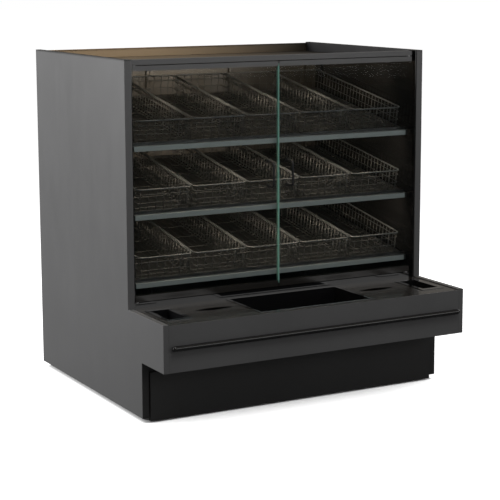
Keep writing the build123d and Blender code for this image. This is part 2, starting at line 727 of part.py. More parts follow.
def tissue_trays():
    """Two trays screwed up under the deck, whose flanges carry the tissue covers."""
    ledge = DECK_TOP_Z - DECK_PLATE_T
    with BuildPart() as trays:
        for side in (-1, 1):
            inside = spread(side, COVER_X[0] + TRAY_LEDGE, COVER_X[1] - TRAY_LEDGE)
            flange = spread(side, COVER_X[0] - 10, COVER_X[1] + 10)
            hung_tray(inside, (COVER_Y[0] + TRAY_LEDGE, COVER_Y[1] - TRAY_LEDGE), flange,
                      (COVER_Y[0] - 10, COVER_Y[1] + 10), (ledge - SHEET, ledge), TRAY_DEPTH)
    save(trays, "tissue_trays")


def tong_pans():
    """Two drop-in wells for serving tongs, each with a flat flange on the deck."""
    with BuildPart() as pans:
        for side in (-1, 1):
            hung_tray(spread(side, *TONG_X), TONG_Y, spread(side, *TONG_FLANGE_X), TONG_FLANGE_Y,
                      (DECK_TOP_Z, DECK_TOP_Z + SHEET), TONG_DEPTH)
    save(pans, "tong_pans")


def bumper_rail():
    """Round bar along the deck with rounded ends, tapped for its bolts."""
    with BuildPart() as rail:
        with Locations((0, BUMPER_Y, BUMPER_Z)):
            Cylinder(BUMPER_R, 2 * BUMPER_HALF_L, rotation=(0, 90, 0))
        fillet(rail.edges().filter_by(GeomType.CIRCLE), radius=BUMPER_R - 1.5)
        for x in BUMPER_BOLT_X:
            rod(x, (BUMPER_Y, BUMPER_Y + BUMPER_R + 1), BUMPER_Z, BUMPER_BOLT_R + 0.1, Mode.SUBTRACT)
    save(rail, "bumper_rail")


def bumper_bolts():
    """Bolts through the deck front, each with a spacer outside and a nut inside."""
    spacer = (BUMPER_Y + BUMPER_R, DECK_FRONT_Y)
    inner = DECK_FRONT_Y + SHEET
    with BuildPart() as bolts:
        for x in BUMPER_BOLT_X:
            rod(x, (BUMPER_Y + 1, inner + 8), BUMPER_Z, BUMPER_BOLT_R)
            rod(x, spacer, BUMPER_Z, 6.0)
            with BuildSketch(Plane.XZ.offset(-inner)) as nut:
                with Locations((x, BUMPER_Z)):
                    RegularPolygon(6.0, 6)
            extrude(nut.sketch, amount=-5.0)
    save(bolts, "bumper_bolts")


# Base

def kick_plate():
    """Folded kick plate, a little proud of the base and clear of the floor, turned up behind to the deck."""
    back = KICK_Y + KICK_D
    with BuildPart() as plate:
        block((-KICK_X, KICK_X), (KICK_Y, back), KICK_Z)
        block((-KICK_X + SHEET, KICK_X - SHEET), (KICK_Y + SHEET, back + 1),
              (KICK_Z[0] - 1, KICK_Z[1] - SHEET), Mode.SUBTRACT)
        block((-KICK_X, KICK_X), (back - SHEET, back), (KICK_Z[1] - SHEET, DECK_BOTTOM_Z - SLIP))
    save(plate, "kick_plate")


def tube_x(x, y, z):
    """Square tube along X, centred on y and z."""
    block(x, (y - TUBE / 2, y + TUBE / 2), (z - TUBE / 2, z + TUBE / 2))
    inner = TUBE / 2 - TUBE_WALL
    block((x[0] - 1, x[1] + 1), (y - inner, y + inner), (z - inner, z + inner), Mode.SUBTRACT)


def tube_y(x, y, z):
    """Square tube along Y, centred on x and z."""
    block((x - TUBE / 2, x + TUBE / 2), y, (z - TUBE / 2, z + TUBE / 2))
    inner = TUBE / 2 - TUBE_WALL
    block((x - inner, x + inner), (y[0] - 1, y[1] + 1), (z - inner, z + inner), Mode.SUBTRACT)


def tube_z(x, y, z):
    """Square tube along Z, centred on x and y."""
    block((x - TUBE / 2, x + TUBE / 2), (y - TUBE / 2, y + TUBE / 2), z)
    inner = TUBE / 2 - TUBE_WALL
    block((x - inner, x + inner), (y - inner, y + inner), (z[0] - 1, z[1] + 1), Mode.SUBTRACT)


def base_frame():
    """Tube frame of the base, with posts up the back and arms that carry the deck."""
    half = TUBE / 2
    gap = 0.1
    low = FRAME_BOTTOM_Z + half
    over_low = FRAME_BOTTOM_Z + TUBE + gap
    sill_under = DECK_TOP_Z - DECK_PLATE_T
    tubes = []
    span = (-FRAME_X + half + gap, FRAME_X - half - gap)
    for y, z in ((FRAME_FRONT_Y, low), (FRAME_REAR_Y, low), (FRAME_MID_Y, sill_under - half),
                 (FRAME_REAR_Y, CEILING_Z - SLIP - half)):
        tubes.append((tube_x, span, y, z))
    for side in (-1, 1):
        x = side * FRAME_X
        tubes.append((tube_y, x, (FRAME_FRONT_Y - half, FRAME_REAR_Y + half), low))
        tubes.append((tube_z, x, FRAME_MID_Y, (over_low, sill_under)))
        tubes.append((tube_z, x, FRAME_REAR_Y, (over_low, CEILING_Z - SLIP)))
    for x in ARM_X:
        tubes.append((tube_y, x, (DECK_FRONT_Y + 34, FRAME_MID_Y - half - gap), ARM_Z))
    for x in ARM_X[1:3]:
        tubes.append((tube_z, x, FRAME_MID_Y, (DECK_BOTTOM_Z + SHEET, sill_under - TUBE - gap)))
    with BuildPart() as frame:
        for make, *where in tubes:
            make(*where)
        for x, z in back_screw_places():
            rod(x, (FRAME_REAR_Y, BACK_Y), z, SCREW_R + 0.1, Mode.SUBTRACT)
    save(frame, "base_frame")


def levelling_feet():
    """Six screw feet with round pads and lock nuts."""
    with BuildPart() as feet:
        for side in (-1, 1):
            for y in FOOT_Y:
                x = side * FRAME_X
                with BuildSketch(Plane.XZ.offset(-y)) as pad:
                    with BuildLine():
                        Polyline((x, 0), (x + FOOT_R - 2, 0), (x + FOOT_R, 2), (x + FOOT_R, 6),
                                 (x + STUD_R + 4, FOOT_H), (x + STUD_R, FOOT_H),
                                 (x + STUD_R, FRAME_BOTTOM_Z), (x, FRAME_BOTTOM_Z), close=True)
                    make_face()
                revolve(pad.sketch, axis=Axis((x, y, 0), (0, 0, 1)))
                with BuildSketch(Plane.XY.offset(FRAME_BOTTOM_Z - 10)) as nut:
                    with Locations((x, y)):
                        RegularPolygon(11.0, 6)
                extrude(nut.sketch, amount=8.0)
    save(feet, "levelling_feet")


# Power and switch

def led_driver():
    """Lamp power supply with mounting ears, fixed inside the rear cover."""
    y = BACK_Y - SHEET
    with BuildPart() as driver:
        block(DRIVER_X, (y - DRIVER_D, y), DRIVER_Z)
        chamfer(driver.edges().filter_by(Axis.Z), length=3)
        block((DRIVER_X[0] - DRIVER_EAR, DRIVER_X[1] + DRIVER_EAR), (y - DRIVER_EAR_T, y),
              (DRIVER_Z[0] + DRIVER_EAR, DRIVER_Z[1] - DRIVER_EAR))
        for x in (DRIVER_X[0] - DRIVER_EAR / 2, DRIVER_X[1] + DRIVER_EAR / 2):
            rod(x, (y - DRIVER_EAR_T - 1, y + 1), sum(DRIVER_Z) / 2, DRIVER_HOLE_R, Mode.SUBTRACT)
    save(driver, "led_driver")


def power_gland():
    """Cable gland in the recess: a hexagon and a dome outside, a nut inside, and one clear bore."""
    face = BACK_Y - RECESS_D
    inner = face - SHEET
    with BuildPart() as gland:
        rod(GLAND_X, (inner - 8, face), SERVICE_Z, 8.0)
        with BuildSketch(Plane.XZ.offset(-face)) as collar:
            with Locations((GLAND_X, SERVICE_Z)):
                RegularPolygon(12.0, 6)
        extrude(collar.sketch, amount=-7.0)
        rod(GLAND_X, (face + 7, face + 18), SERVICE_Z, 9.0)
        chamfer(gland.edges().filter_by(GeomType.CIRCLE).sort_by(Axis.Y)[-1], length=2.5)
        with BuildSketch(Plane.XZ.offset(-inner)) as nut:
            with Locations((GLAND_X, SERVICE_Z)):
                RegularPolygon(12.0, 6)
        extrude(nut.sketch, amount=5.0)
        rod(GLAND_X, (inner - 9, face + 19), SERVICE_Z, GLAND_BORE_R, Mode.SUBTRACT)
    save(gland, "power_gland")


def switch_body():
    """Housing of the light switch, with a bezel in the recess."""
    face = BACK_Y - RECESS_D
    half_w = SWITCH_W / 2
    half_h = SWITCH_H / 2
    with BuildPart() as body:
        block((SWITCH_X - half_w + 0.2, SWITCH_X + half_w - 0.2), (face - 24, face + 2),
              (SERVICE_Z - half_h + 0.2, SERVICE_Z + half_h - 0.2))
        block((SWITCH_X - half_w - 3, SWITCH_X + half_w + 3), (face, face + 2),
              (SERVICE_Z - half_h - 3, SERVICE_Z + half_h + 3))
        block((SWITCH_X - half_w + 2, SWITCH_X + half_w - 2), (face - 12, face + 3),
              (SERVICE_Z - half_h + 2, SERVICE_Z + half_h - 2), Mode.SUBTRACT)
    save(body, "switch_body")


def switch_rocker():
    """Rocker key, resting with its lower half pressed in, on a pivot across the housing."""
    half_w = SWITCH_W / 2 - 2.4
    reach = SWITCH_H / 2 - 3.4
    lean = math.radians(ROCKER_THROW / 2)
    crown = 5.0
    across = Plane(origin=(SWITCH_X - half_w, BACK_Y - RECESS_D - 4, SERVICE_Z),
                   x_dir=(0, math.cos(lean), math.sin(lean)), z_dir=(1, 0, 0))
    with BuildPart() as rocker:
        with BuildSketch(across):
            with BuildLine():
                Polyline((-3, 0), (-1, -reach), (crown + 1.8, -reach), (crown, 0),
                         (crown + 1.8, reach), (-1, reach), close=True)
            make_face()
            Circle(ROCKER_BOSS_R)
        extrude(amount=2 * half_w)
    save(rocker, "switch_rocker")


def build_cabinet():
    side_panel(-1, "side_panel_left")
    side_panel(1, "side_panel_right")
    side_liner(-1, "side_liner_left")
    side_liner(1, "side_liner_right")
    back_panel()
    panel_screws()
    back_liner()
    top_panel()
    cabinet_floor()
    face_rail("header_rail", DOOR_X[1], HEADER_D, HEADER_Z, (HEADER_Z[0] - 1, HEADER_Z[0] + 12))
    face_rail("sill_rail", CABIN_X - SLIP, SILL_D, SILL_Z, (SILL_Z[1] - 12, SILL_Z[1] + 1))
    pivot_pins()


def build_doors():
    for side, hand in ((-1, "left"), (1, "right")):
        door_glass(side, f"door_glass_{hand}")
        door_rails(side, hand)
        door_handle(side, f"door_handle_{hand}")


def build_shelves():
    for level in range(SHELF_COUNT):
        shelf(level)
    price_rails()
    shelf_standards()
    shelf_brackets()
    light_bars()
    light_lenses()
    baskets()


def build_deck():
    deck_top()
    deck_front()
    deck_bottom()
    centre_bin()
    tissue_cover(-1, "tissue_cover_left")
    tissue_cover(1, "tissue_cover_right")
    tissue_trays()
    tong_pans()
    bumper_rail()
    bumper_bolts()


def build_base():
    kick_plate()
    base_frame()
    levelling_feet()
    led_driver()
    power_gland()
    switch_body()
    switch_rocker()


build_cabinet()
build_doors()
build_shelves()
build_deck()
build_base()
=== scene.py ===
import math

import bmesh
import bpy
from mathutils import Matrix, Vector


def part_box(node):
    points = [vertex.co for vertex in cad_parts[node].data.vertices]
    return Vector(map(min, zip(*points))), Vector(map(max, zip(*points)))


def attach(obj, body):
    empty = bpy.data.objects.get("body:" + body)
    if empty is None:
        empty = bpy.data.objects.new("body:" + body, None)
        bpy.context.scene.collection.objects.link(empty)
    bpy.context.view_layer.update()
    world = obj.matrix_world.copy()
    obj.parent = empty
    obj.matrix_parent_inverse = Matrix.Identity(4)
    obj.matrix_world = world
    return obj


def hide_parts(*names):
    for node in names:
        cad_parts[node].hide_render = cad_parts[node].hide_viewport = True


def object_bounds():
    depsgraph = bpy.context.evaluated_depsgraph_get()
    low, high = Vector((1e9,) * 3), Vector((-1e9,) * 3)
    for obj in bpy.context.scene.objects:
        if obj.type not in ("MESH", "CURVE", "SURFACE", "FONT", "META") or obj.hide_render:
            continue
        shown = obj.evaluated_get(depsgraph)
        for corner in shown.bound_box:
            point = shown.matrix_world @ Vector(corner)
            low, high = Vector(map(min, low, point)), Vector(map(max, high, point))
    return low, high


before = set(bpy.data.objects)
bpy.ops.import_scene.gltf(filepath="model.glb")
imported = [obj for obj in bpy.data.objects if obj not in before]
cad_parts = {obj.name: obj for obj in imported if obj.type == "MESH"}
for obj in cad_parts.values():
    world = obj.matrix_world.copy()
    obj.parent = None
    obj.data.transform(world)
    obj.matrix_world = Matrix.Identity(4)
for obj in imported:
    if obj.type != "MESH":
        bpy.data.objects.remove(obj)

# Metres throughout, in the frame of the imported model: +Z up, the front faces -Y.
CAD_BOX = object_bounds()
MM = 0.001
ALONG_X = Vector((1, 0, 0))
ALONG_Y = Vector((0, 1, 0))
UP = Vector((0, 0, 1))

# Camera, fitted to the edges of the case: place, turns in degrees, lens and sensor in millimetres
CAMERA_AT = (-2.9361, -5.3554, 1.6329)
CAMERA_YAW = 28.851
CAMERA_PITCH = -9.15
CAMERA_ROLL = -0.186
CAMERA_LENS = 111.24
CAMERA_SHIFT_Y = -0.06
CAMERA_REACH = 200.0
SENSOR = 36.0

# Soft studio lights: name, place, aim, width, height and power
STUDIO_LIGHTS = (
    ("key_left", (-3.6, 1.6, 1.95), (0, 0, 0.8), 2.0, 2.0, 208),
    ("fill_right", (3.8, 1.4, 1.7), (0, 0, 0.8), 2.0, 2.0, 70),
    ("top_front", (-0.4, -2.6, 3.7), (0, -0.3, 0.8), 1.6, 1.6, 46),
    ("front_right", (2.0, -4.2, 1.6), (0, -0.6, 0.6), 3.0, 1.4, 25),
)

# The case's own lamps: one in the nose of each upper shelf and one under the ceiling, aimed down and back
LAMP_Y = (-0.2, -0.2, -0.08)
LAMP_Z = (0.722, 0.977, 1.26)
LAMP_AIM = Vector((0, 0.5, -0.4))
LAMP_LENGTH = 1.15
LAMP_WIDTH = 0.03
LAMP_POWER = 3.6
LAMP_COVER_GLOW = 9.0

# World and floor
AMBIENT = 0.2
MIRRORED = 0.2
WHITE = (1, 1, 1, 1)
MIRRORED_WARM = (1.0, 0.93, 0.84, 1)
FLOOR_GREY = (0.12, 0.12, 0.12, 1)
FLOOR_SHOWN = (0.85, 0.85, 0.85, 1)
FLOOR_GLOW = 0.86
FLOOR_HALF = 60.0
SKY_REACH = 1.2
SKY_SHARES = (0.05, 0.3)
SKY_SAMPLES = 8
DARK_GLOW = 0.04
SHADE_EDGE = 20 * MM

# Wire baskets, the size of the model's own nets
TILT = math.radians(10.3)
BASKET_W = 229 * MM
BASKET_L = 655 * MM
BASKET_H = 88 * MM
RIM_R = 2.75 * MM
WIRE_R = 1.35 * MM
NET_HALF_T = 1.5 * MM
RIM_CORNER = 18 * MM
WIRE_BEND = 11 * MM
HOOP_HEIGHTS = (0.78, 0.42)
END_WIRES = 7
SIDE_WIRES = 27
FLOOR_EVERY = 5
WIRE_SIDES = 8
BEND_STEPS = 5
CORNER_STEPS = 6
WIRE_LIFT = WIRE_R * 1.6
LOW_HOOP_UP = WIRE_BEND * 0.3
LOW_HOOP_IN = WIRE_BEND * 0.35
LOW_HOOP_CORNER = RIM_CORNER * 0.8
NEARLY_ALONG = 0.95
SHELF_LEVELS = ("lower", "middle", "upper")
BASKET_COLUMNS = 5

# Door glass: the arris on its edges, the depth of the green meeting edge, the share that it mirrors and the
# painted glow of each meeting edge
ARRIS = 1 * MM
EDGE_BAND = 3 * MM
FACE_ON = 0.99
GLASS_MIRRORS = (0.025, 0.9)
GLASS_STEEPNESS = 5.0
PAINTED_EDGE_GLOW = {"left": 0.0, "right": 0.42}

# Colours, linear
CHARCOAL = (0.085, 0.085, 0.086)
# Kick plate: dark charcoal, darkened further as painted shade under the deck
KICK_CHARCOAL_AND_SHADE = (0.03, 0.03, 0.0305)
GLOSS_BLACK = (0.006, 0.006, 0.0065)
DECK_BLACK = (0.015, 0.0135, 0.012)
SHELF_BLACK = (0.008, 0.0085, 0.009)
FRAME_BLACK = (0.03, 0.03, 0.03)
HANDLE_BLACK = (0.012, 0.013, 0.015)
BUMPER_BLACK = (0.007, 0.007, 0.0072)
PLASTIC_BLACK = (0.015, 0.015, 0.016)
DRIVER_GREY = (0.5, 0.5, 0.5)
ZINC_GREY = (0.45, 0.45, 0.46)
CHANNEL_GREY = (0.6, 0.6, 0.6)
RIM_GREY = (0.06, 0.066, 0.07)
WIRE_GREY = (0.016, 0.0175, 0.0185)
# Price strips: grey lightened as painted light from inside the case
STRIP_GREY_AND_LIGHT = (0.25, 0.278, 0.28)
REAR_BROWN = (0.024, 0.0208, 0.0168)
# Painted warm sheen in the well, from its left end to its right end
SHEEN_LEFT = (0.5, 0.36, 0.21)
SHEEN_RIGHT = (0.008, 0.008, 0.007)
GLASS_BODY = (0.02, 0.03, 0.028, 1)
GLASS_TINT = (0.972, 0.985, 0.98, 1)
EDGE_GREEN = (0.13, 0.27, 0.225)
LAMP_MILK = (0.9, 0.85, 0.75, 1)
LAMP_WARM = (1.0, 0.82, 0.62)

# Where the finish, the painted sheen and the painted light change: along the case, and how deep in the rear
# cover's sheet
SHEEN_X = (-0.3, 0.75)
PAINTED_LIGHT_X = (-0.1, 0.22)
TRIM_BACK_Y = -0.26
EDGE_TRIM = 6 * MM
EDGE_LINE = 8 * MM
COVER_DEPTH = 1.6 * MM
SEAM = 1 * MM

# Depths of relief, and the grain of moulded plastic
SKIN_RELIEF = 0.25 * MM
FINE_RELIEF = 0.1 * MM
PLASTIC_GRAIN = 0.6 * MM


def nodes_of(name):
    """A new node material, its tree and its shader."""
    made = bpy.data.materials.new(name)
    made.use_nodes = True
    tree = made.node_tree
    return made, tree, tree.nodes["Principled BSDF"]


def add_node(tree, kind, **settings):
    """A new node whose named inputs or properties are set."""
    node = tree.nodes.new(kind)
    for key, value in settings.items():
        if key in node.inputs:
            node.inputs[key].default_value = value
        else:
            setattr(node, key, value)
    return node


def fix(node, values):
    """Set a node's own sockets."""
    for socket, value in values.items():
        node.inputs[socket].default_value = value


def feed(tree, node, sources):
    """Join sources to a node's sockets."""
    for socket, source in sources.items():
        tree.links.new(source, node.inputs[socket])


def noise(tree, scale, detail=3.0, rough=0.5, stretch=(1, 1, 1)):
    """Noise in the piece's own coordinates, drawn out along an axis if asked."""
    place = add_node(tree, "ShaderNodeTexCoord")
    mapping = add_node(tree, "ShaderNodeMapping", Scale=stretch)
    texture = add_node(tree, "ShaderNodeTexNoise", Scale=scale, Detail=detail, Roughness=rough)
    feed(tree, mapping, {"Vector": place.outputs["Object"]})
    feed(tree, texture, {"Vector": mapping.outputs["Vector"]})
    return texture.outputs["Fac"]


def shade(colour, factor):
    """A darker or lighter shade of a colour."""
    return tuple(c * factor for c in colour)


def ramp(tree, source, low, high, start=0.35, end=0.65):
    """Turn a grey value into a colour between two colours."""
    node = add_node(tree, "ShaderNodeValToRGB")
    for element, position, colour in zip(node.color_ramp.elements, (start, end), (low, high)):
        element.position = position
        element.color = (*colour, 1)
    feed(tree, node, {"Fac": source})
    return node.outputs["Color"]


def vary(tree, source, colour, low, high, start=0.35, end=0.65):
    """Turn a grey value into a darker or lighter shade of one colour."""
    return ramp(tree, source, shade(colour, low), shade(colour, high), start, end)


def spread(tree, source, low, high):
    """Map a grey value to a range of numbers."""
    node = add_node(tree, "ShaderNodeMapRange")
    fix(node, {"To Min": low, "To Max": high})
    feed(tree, node, {"Value": source})
    return node.outputs["Result"]


def relief(tree, shader, source, strength, distance):
    """Give a surface the relief of a grey value."""
    node = add_node(tree, "ShaderNodeBump", Strength=strength, Distance=distance)
    feed(tree, node, {"Height": source})
    feed(tree, shader, {"Normal": node.outputs["Normal"]})


def fade(tree, axis, start, end):
    """From 0 at one place along an axis of the case to 1 at another."""
    place = add_node(tree, "ShaderNodeTexCoord")
    split = add_node(tree, "ShaderNodeSeparateXYZ")
    feed(tree, split, {"Vector": place.outputs["Object"]})
    node = add_node(tree, "ShaderNodeMapRange", interpolation_type="SMOOTHSTEP")
    fix(node, {"From Min": start, "From Max": end})
    feed(tree, node, {"Value": split.outputs[axis]})
    return node.outputs["Result"]


def mixed(tree, share, low, high):
    """Mix two colours by a share between 0 and 1."""
    node = add_node(tree, "ShaderNodeMix", data_type="RGBA")
    feed(tree, node, {0: share, 6: low, 7: high})
    return node.outputs[2]


def compared(tree, operation, first, second):
    """The larger or the smaller of two numbers."""
    node = add_node(tree, "ShaderNodeMath", operation=operation)
    feed(tree, node, {0: first, 1: second})
    return node.outputs["Value"]


def either(tree, first, second):
    """1 where one of two masks is 1."""
    return compared(tree, "MAXIMUM", first, second)


def both(tree, first, second):
    """1 where two masks are 1."""
    return compared(tree, "MINIMUM", first, second)


def blended(tree, share, first, second):
    """Mix two shaders by a share between 0 and 1."""
    node = add_node(tree, "ShaderNodeMixShader")
    feed(tree, node, {"Fac": share, 1: first, 2: second})
    return node.outputs["Shader"]


def surface(tree, shader):
    """Make a shader the surface of its material."""
    feed(tree, tree.nodes["Material Output"], {"Surface": shader})


def painted(name, colour, roughness, texture_mm=1.1, texture=0.12, variation=0.06, coat=0.0):
    """Powder coat: a fine pebbled skin, slow drifts of colour and sheen, and faint smears of handling."""
    made, tree, shader = nodes_of(name)
    drift = noise(tree, 3.0, 4.0)
    smear = noise(tree, 14.0, 6.0, 0.6, (1, 1, 0.35))
    feed(tree, shader, {
        "Base Color": vary(tree, drift, colour, 1 - variation, 1 + variation),
        "Roughness": spread(tree, smear, roughness * 0.86, roughness * 1.14),
    })
    relief(tree, shader, noise(tree, 1 / (texture_mm * MM), 2.0), texture, SKIN_RELIEF)
    fix(shader, {"Coat Weight": coat, "Coat Roughness": 0.08})
    return made


def painted_over(*finish, **texture):
    """A painted material with its tree, its shader and the colour that part of it is to keep."""
    made = painted(*finish, **texture)
    tree = made.node_tree
    shader = tree.nodes["Principled BSDF"]
    return made, tree, shader, shader.inputs["Base Color"].links[0].from_socket


def clear_glass():
    """Thin clear glass that lets lamps through and mirrors more at low angles."""
    made, tree, shader = nodes_of("clear_glass")
    fix(shader, {"Base Color": GLASS_BODY, "Roughness": 0.02, "IOR": 1.5})
    see = add_node(tree, "ShaderNodeBsdfTransparent", Color=GLASS_TINT)
    glance = add_node(tree, "ShaderNodeLayerWeight", Blend=0.5)
    steep = add_node(tree, "ShaderNodeMath", operation="POWER")
    fix(steep, {1: GLASS_STEEPNESS})
    feed(tree, steep, {0: glance.outputs["Facing"]})
    share = spread(tree, steep.outputs["Value"], *GLASS_MIRRORS)
    surface(tree, blended(tree, share, see.outputs["BSDF"], shader.outputs["BSDF"]))
    return made


def glass_edge(hand):
    """Polished edge of the glass: green in drifting bands along it, with a painted glow for the light that
    it carries.
    """
    made, tree, shader = nodes_of(f"glass_edge_{hand}")
    bands = noise(tree, 9.0, 4.0, 0.6, (1, 1, 0.6))
    colour = vary(tree, bands, EDGE_GREEN, 0.75, 1.25, 0.3, 0.7)
    feed(tree, shader, {
        "Base Color": colour,
        "Emission Color": colour,
        "Roughness": spread(tree, bands, 0.08, 0.2),
    })
    # Painted glow: the edge emits light as if carried along the glass
    fix(shader, {"Emission Strength": PAINTED_EDGE_GLOW[hand]})
    relief(tree, shader, noise(tree, 300.0, 2.0), 0.05, FINE_RELIEF)
    return made


def lamp_cover():
    """Milky lamp cover with its row of lamps glowing through it."""
    made, tree, shader = nodes_of("lamp_cover")
    fix(shader, {"Base Color": LAMP_MILK, "Roughness": 0.4, "Emission Strength": LAMP_COVER_GLOW})
    place = add_node(tree, "ShaderNodeTexCoord")
    wave = add_node(tree, "ShaderNodeTexWave", Scale=9.0)
    feed(tree, wave, {"Vector": place.outputs["Object"]})
    feed(tree, shader, {"Emission Color": vary(tree, wave.outputs["Fac"], LAMP_WARM, 0.8, 1.0, 0.0, 1.0)})
    return made


def metal(name, colour, roughness, stretch=(1, 1, 1)):
    """Bare metal with a fine brushed or rolled grain."""
    made, tree, shader = nodes_of(name)
    grain = noise(tree, 400.0, 4.0, 0.6, stretch)
    feed(tree, shader, {
        "Base Color": vary(tree, grain, colour, 0.85, 1.1),
        "Roughness": spread(tree, grain, roughness * 0.8, roughness * 1.3),
    })
    fix(shader, {"Metallic": 1.0})
    relief(tree, shader, grain, 0.08, FINE_RELIEF)
    return made


def satin(name, colour, roughness):
    """Satin extruded profile: a faint drawn grain along its length."""
    made, tree, shader = nodes_of(name)
    grain = noise(tree, 260.0, 3.0, 0.5, (0.03, 1, 1))
    feed(tree, shader, {
        "Base Color": vary(tree, grain, colour, 0.93, 1.06),
        "Roughness": spread(tree, grain, roughness * 0.9, roughness * 1.15),
    })
    fix(shader, {"Metallic": 0.75})
    relief(tree, shader, grain, 0.06, FINE_RELIEF)
    return made


def plastic(name, colour, roughness):
    """Moulded plastic with a fine spark texture."""
    made, tree, shader = nodes_of(name)
    drift = noise(tree, 20.0, 3.0)
    feed(tree, shader, {
        "Base Color": vary(tree, drift, colour, 0.94, 1.06),
        "Roughness": spread(tree, drift, roughness * 0.9, roughness * 1.1),
    })
    relief(tree, shader, noise(tree, 1 / PLASTIC_GRAIN, 2.0), 0.15, FINE_RELIEF)
    return made


def painted_sheen(tree, dim):
    """Painted warm sheen in the open well on top, deep on the left and fading to black on the right."""
    across = fade(tree, "X", *SHEEN_X)
    return ramp(tree, across, shade(SHEEN_LEFT, dim), shade(SHEEN_RIGHT, dim), 0.0, 1.0)


def well_floor():
    """Enamelled floor of the well, with the same painted warm sheen as the wall behind it."""
    made, tree, shader = nodes_of("well_floor")
    drift = noise(tree, 8.0, 4.0)
    feed(tree, shader, {"Base Color": painted_sheen(tree, 0.36), "Roughness": spread(tree, drift, 0.46, 0.58)})
    fix(shader, {"Specular IOR Level": 0.3})
    relief(tree, shader, noise(tree, 400.0, 2.0), 0.03, FINE_RELIEF)
    return made


def rear_cover():
    """Charcoal rear cover whose inner face, above the ceiling, has the painted warm sheen of the well."""
    made, tree, shader, outer = painted_over("rear_cover", CHARCOAL, 0.42)
    inner_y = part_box("back_panel")[1].y - COVER_DEPTH
    well_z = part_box("top_panel")[0].z
    outside = either(tree, fade(tree, "Y", inner_y, inner_y + SEAM), fade(tree, "Z", well_z + SEAM, well_z))
    feed(tree, shader, {"Base Color": mixed(tree, outside, painted_sheen(tree, 1.0), outer)})
    return made


def side_board():
    """Charcoal faced board whose inner face and top edge are black, and whose low front edge is darkened as
    painted shade under the deck.
    """
    made, tree, shader, outer = painted_over("side_board", CHARCOAL, 0.42, variation=0.03)
    inner_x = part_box("side_panel_right")[0].x + EDGE_TRIM
    right = fade(tree, "X", inner_x, inner_x + SEAM)
    left = fade(tree, "X", -inner_x, -inner_x - SEAM)
    front = fade(tree, "Y", TRIM_BACK_Y + SEAM, TRIM_BACK_Y)
    outside = either(tree, either(tree, right, front), left)
    edge_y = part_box("kick_plate")[0].y + EDGE_LINE
    edge_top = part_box("deck_bottom")[0].z
    top = CAD_BOX[1].z
    # The low front edge, under the deck, is darkened as painted shade; the top edge has black banding.
    painted_shade_low_edge = both(tree, fade(tree, "Z", edge_top, edge_top - SEAM), fade(tree, "Y", edge_y, edge_y - SEAM))
    edge = either(tree, painted_shade_low_edge, fade(tree, "Z", top - EDGE_LINE, top - SEAM))
    banding_and_painted_shade = vary(tree, noise(tree, 12.0, 3.0), CHARCOAL, 0.25, 0.4)
    inside = vary(tree, noise(tree, 12.0, 3.0), GLOSS_BLACK, 1.6, 2.4)
    faced = mixed(tree, edge, outer, banding_and_painted_shade)
    feed(tree, shader, {"Base Color": mixed(tree, outside, inside, faced)})
    return made


def rear_wall():
    """Enamelled rear wall of the cabin, with painted light making it paler towards its left end."""
    made, tree, shader, plain = painted_over("rear_wall_enamel", REAR_BROWN, 0.34, texture_mm=2.5,
                                             texture=0.02, variation=0.12, coat=0.3)
    painted_light = vary(tree, noise(tree, 6.0, 3.0), REAR_BROWN, 2.6, 3.0)
    feed(tree, shader, {"Base Color": mixed(tree, fade(tree, "X", *PAINTED_LIGHT_X), painted_light, plain)})
    return made


MATERIALS = {
    "charcoal": painted("charcoal_powder_coat", CHARCOAL, 0.42),
    "board": side_board(),
    "cover": rear_cover(),
    "well": well_floor(),
    "kick": painted("kick_charcoal_and_shade", KICK_CHARCOAL_AND_SHADE, 0.45),
    "gloss": painted("gloss_black", GLOSS_BLACK, 0.12, texture_mm=2.5, texture=0.02, variation=0.1,
                     coat=0.6),
    "deck": painted("deck_black", DECK_BLACK, 0.24, texture_mm=2.5, texture=0.03, variation=0.1,
                    coat=0.2),
    "shelf": painted("shelf_black", SHELF_BLACK, 0.3),
    "frame": painted("frame_black", FRAME_BLACK, 0.6),
    "rim": painted("basket_rim_coating", RIM_GREY, 0.3, texture_mm=0.5, texture=0.08, variation=0.15),
    "wire": painted("basket_wire_coating", WIRE_GREY, 0.38, texture_mm=0.5, texture=0.1, variation=0.15),
    "handle": painted("handle_black", HANDLE_BLACK, 0.32),
    "bumper": painted("bumper_black", BUMPER_BLACK, 0.2, texture_mm=1.5, texture=0.03),
    "strip": satin("price_strip", STRIP_GREY_AND_LIGHT, 0.52),
    "rear": rear_wall(),
    "plastic": plastic("black_plastic", PLASTIC_BLACK, 0.45),
    "driver": plastic("driver_case", DRIVER_GREY, 0.5),
    "zinc": metal("zinc_plate", ZINC_GREY, 0.35),
    "aluminium": metal("lamp_channel", CHANNEL_GREY, 0.3, stretch=(0.02, 1, 1)),
    "lamp": lamp_cover(),
    "glass": clear_glass(),
    "edge_left": glass_edge("left"),
    "edge_right": glass_edge("right"),
}

NODE_FINISH = {
    "board": ("side_panel_left", "side_panel_right"),
    "cover": ("back_panel",),
    "well": ("top_panel",),
    "charcoal": ("header_rail", "deck_front", "deck_bottom", "door_top_rail_left", "door_top_rail_right"),
    "kick": ("kick_plate",),
    "gloss": ("side_liner_left", "side_liner_right", "cabinet_floor", "sill_rail", "centre_bin",
              "tissue_trays", "tong_pans"),
    "rear": ("back_liner", "shelf_standards"),
    "deck": ("door_bottom_rail_left", "door_bottom_rail_right", "deck_top", "tissue_cover_left",
             "tissue_cover_right"),
    "shelf": ("shelf_lower", "shelf_middle", "shelf_upper", "shelf_brackets"),
    "frame": ("base_frame",),
    "handle": ("door_handle_left", "door_handle_right"),
    "bumper": ("bumper_rail",),
    "strip": ("price_rails",),
    "plastic": ("power_gland", "switch_body", "switch_rocker"),
    "driver": ("led_driver",),
    "zinc": ("door_pivot_pins", "levelling_feet", "bumper_bolts", "panel_screws"),
    "aluminium": ("light_bars",),
    "lamp": ("light_lenses",),
}


